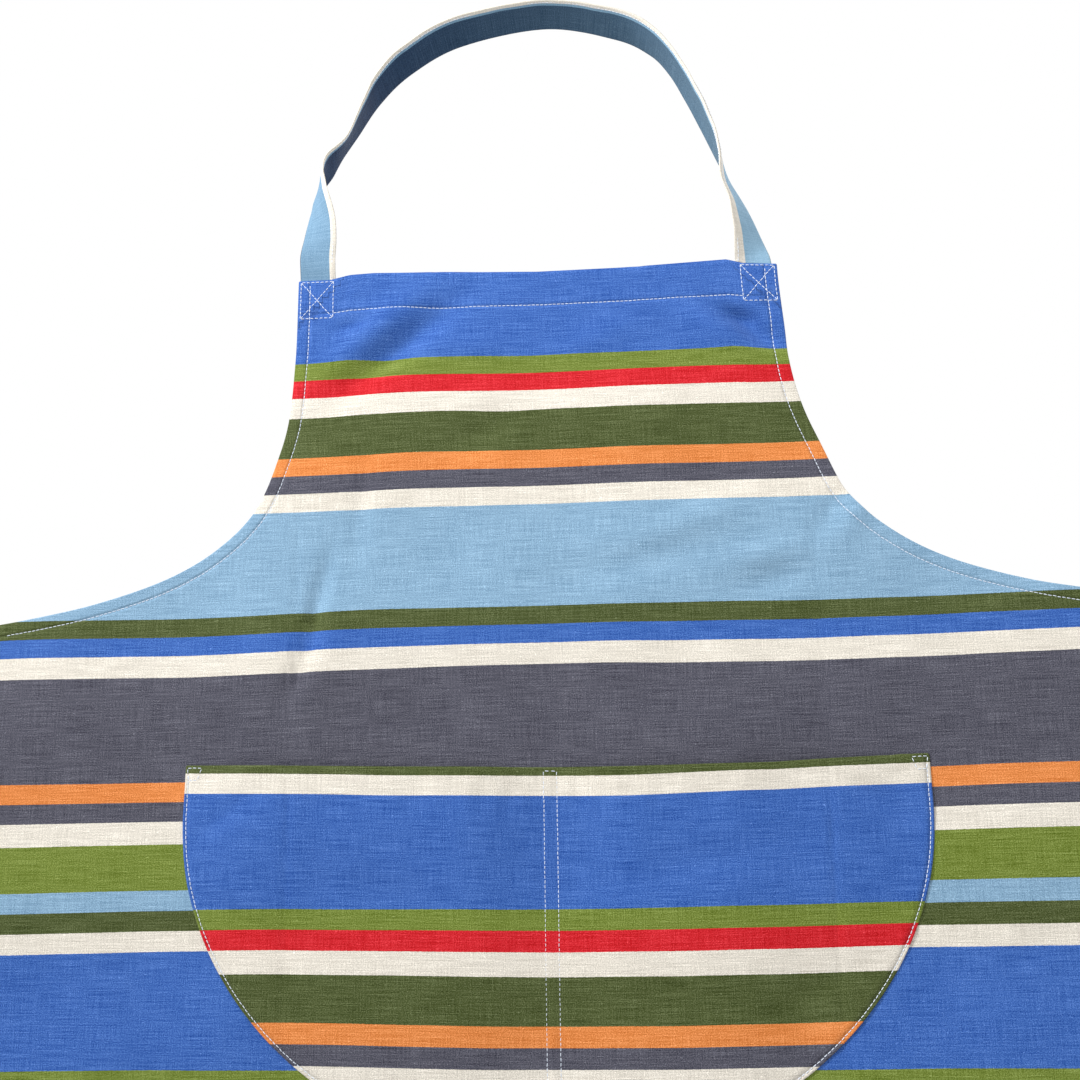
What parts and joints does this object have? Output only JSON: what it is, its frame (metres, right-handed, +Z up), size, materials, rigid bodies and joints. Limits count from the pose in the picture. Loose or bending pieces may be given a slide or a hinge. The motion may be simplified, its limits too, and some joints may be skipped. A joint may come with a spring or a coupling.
{
  "type": "butcher apron",
  "caption": "Full-length bib apron in striped woven cotton with a neck loop, a divided round-bottomed front pocket and long waist ties, hanging from its loop.",
  "frame": {"origin": "middle of the neck loop at the back of the neck, where it rests", "axes": "+Z up along the apron's length, +X across it, -Y out of its front"},
  "size_m": [0.8702, 0.0754, 1.248],
  "materials": {
    "striped_cotton": "matte plain-weave cotton with slubs, in horizontal stripes of blue, light green, red, cream, dark green, orange, charcoal and light blue",
    "tape_cotton": "folded tape of the same cotton, light blue with a cream edge",
    "sewing_thread": "white spun polyester thread, slight sheen"
  },
  "bodies": {
    "neck_loop": {"neck_strap": "tape_cotton", "neck_strap_stitch": "sewing_thread"},
    "apron": {"main_panel": "striped_cotton", "pocket_panel": "striped_cotton", "neck_strap_end_left": "tape_cotton", "neck_strap_end_right": "tape_cotton", "waist_tie_end_left": "tape_cotton", "waist_tie_end_right": "tape_cotton", "top_hem_stitch": "sewing_thread", "bottom_hem_stitch": "sewing_thread", "pocket_edge_stitch": "sewing_thread", "pocket_divider_stitch": "sewing_thread", "armhole_stitch_left": "sewing_thread", "armhole_stitch_right": "sewing_thread", "side_hem_stitch_left": "sewing_thread", "side_hem_stitch_right": "sewing_thread", "strap_box_stitch_left": "sewing_thread", "strap_box_stitch_right": "sewing_thread", "tie_box_stitch_left": "sewing_thread", "tie_box_stitch_right": "sewing_thread", "pocket_corner_tack_left": "sewing_thread", "pocket_corner_tack_right": "sewing_thread"},
    "tie_left": {"waist_tie_left": "tape_cotton", "waist_tie_stitch_left": "sewing_thread"},
    "tie_right": {"waist_tie_right": "tape_cotton", "waist_tie_stitch_right": "sewing_thread"}
  },
  "joints": [
    {"name": "bib_fold", "type": "hinge", "parent": "neck_loop", "child": "apron", "pos_m": [0, -0.0475, -0.242], "axis": [1, 0, 0], "range_deg": [-90, 60]},
    {"name": "tie_swing_left", "type": "hinge", "parent": "apron", "child": "tie_left", "pos_m": [-0.4015, -0.0475, -0.499], "axis": [1, 0, 0], "range_deg": [-90, 120]},
    {"name": "tie_swing_right", "type": "hinge", "parent": "apron", "child": "tie_right", "pos_m": [0.4015, -0.0475, -0.499], "axis": [1, 0, 0], "range_deg": [-90, 120]}
  ]
}
